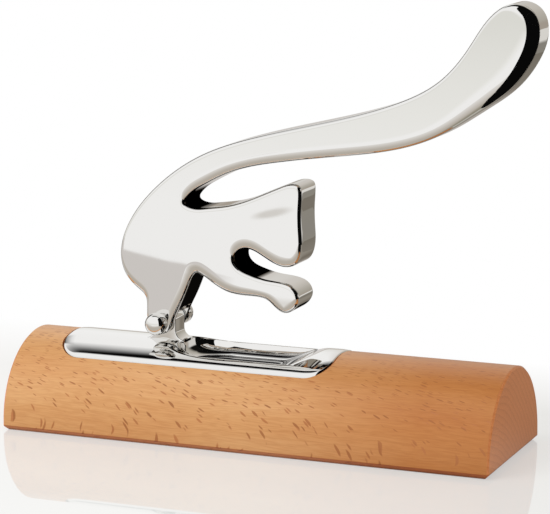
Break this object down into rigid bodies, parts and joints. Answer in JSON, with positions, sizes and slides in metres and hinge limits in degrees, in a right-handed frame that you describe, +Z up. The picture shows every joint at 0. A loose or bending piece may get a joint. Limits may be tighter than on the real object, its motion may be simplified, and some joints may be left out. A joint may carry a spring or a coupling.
{
  "type": "nutcracker",
  "caption": "Lever nutcracker: a chromed squirrel hinged on a tray with a nut trough, let into a half-round wooden base; the tail is the handle.",
  "frame": {"origin": "centre of the wooden base's underside, on the table", "axes": "+X along the base towards the tail's tip, +Y towards the rear, +Z up"},
  "size_m": [0.2345, 0.0732, 0.1937],
  "materials": {
    "beech": "satin",
    "chrome": "polished",
    "steel": "satin",
    "bronze": "satin",
    "felt": "matte"
  },
  "bodies": {
    "base": {"wood_base": "beech", "tray": "chrome", "hinge_bush": "bronze", "front_hinge_washer": "steel", "rear_hinge_washer": "steel", "tray_screw_left": "steel", "tray_screw_middle": "steel", "tray_screw_right": "steel", "tray_washer_left": "steel", "tray_washer_middle": "steel", "tray_washer_right": "steel", "felt_pad_front_left": "felt", "felt_pad_front_right": "felt", "felt_pad_rear_left": "felt", "felt_pad_rear_right": "felt"},
    "lever": {"squirrel_lever": "chrome", "hinge_pin": "steel", "front_ball_cap": "chrome", "rear_ball_cap": "chrome"}
  },
  "joints": [
    {"name": "lever_hinge", "type": "hinge", "parent": "base", "child": "lever", "pos_m": [-0.0475, 0, 0.0487], "axis": [0, -1, 0], "range_deg": [-20, 66]}
  ]
}
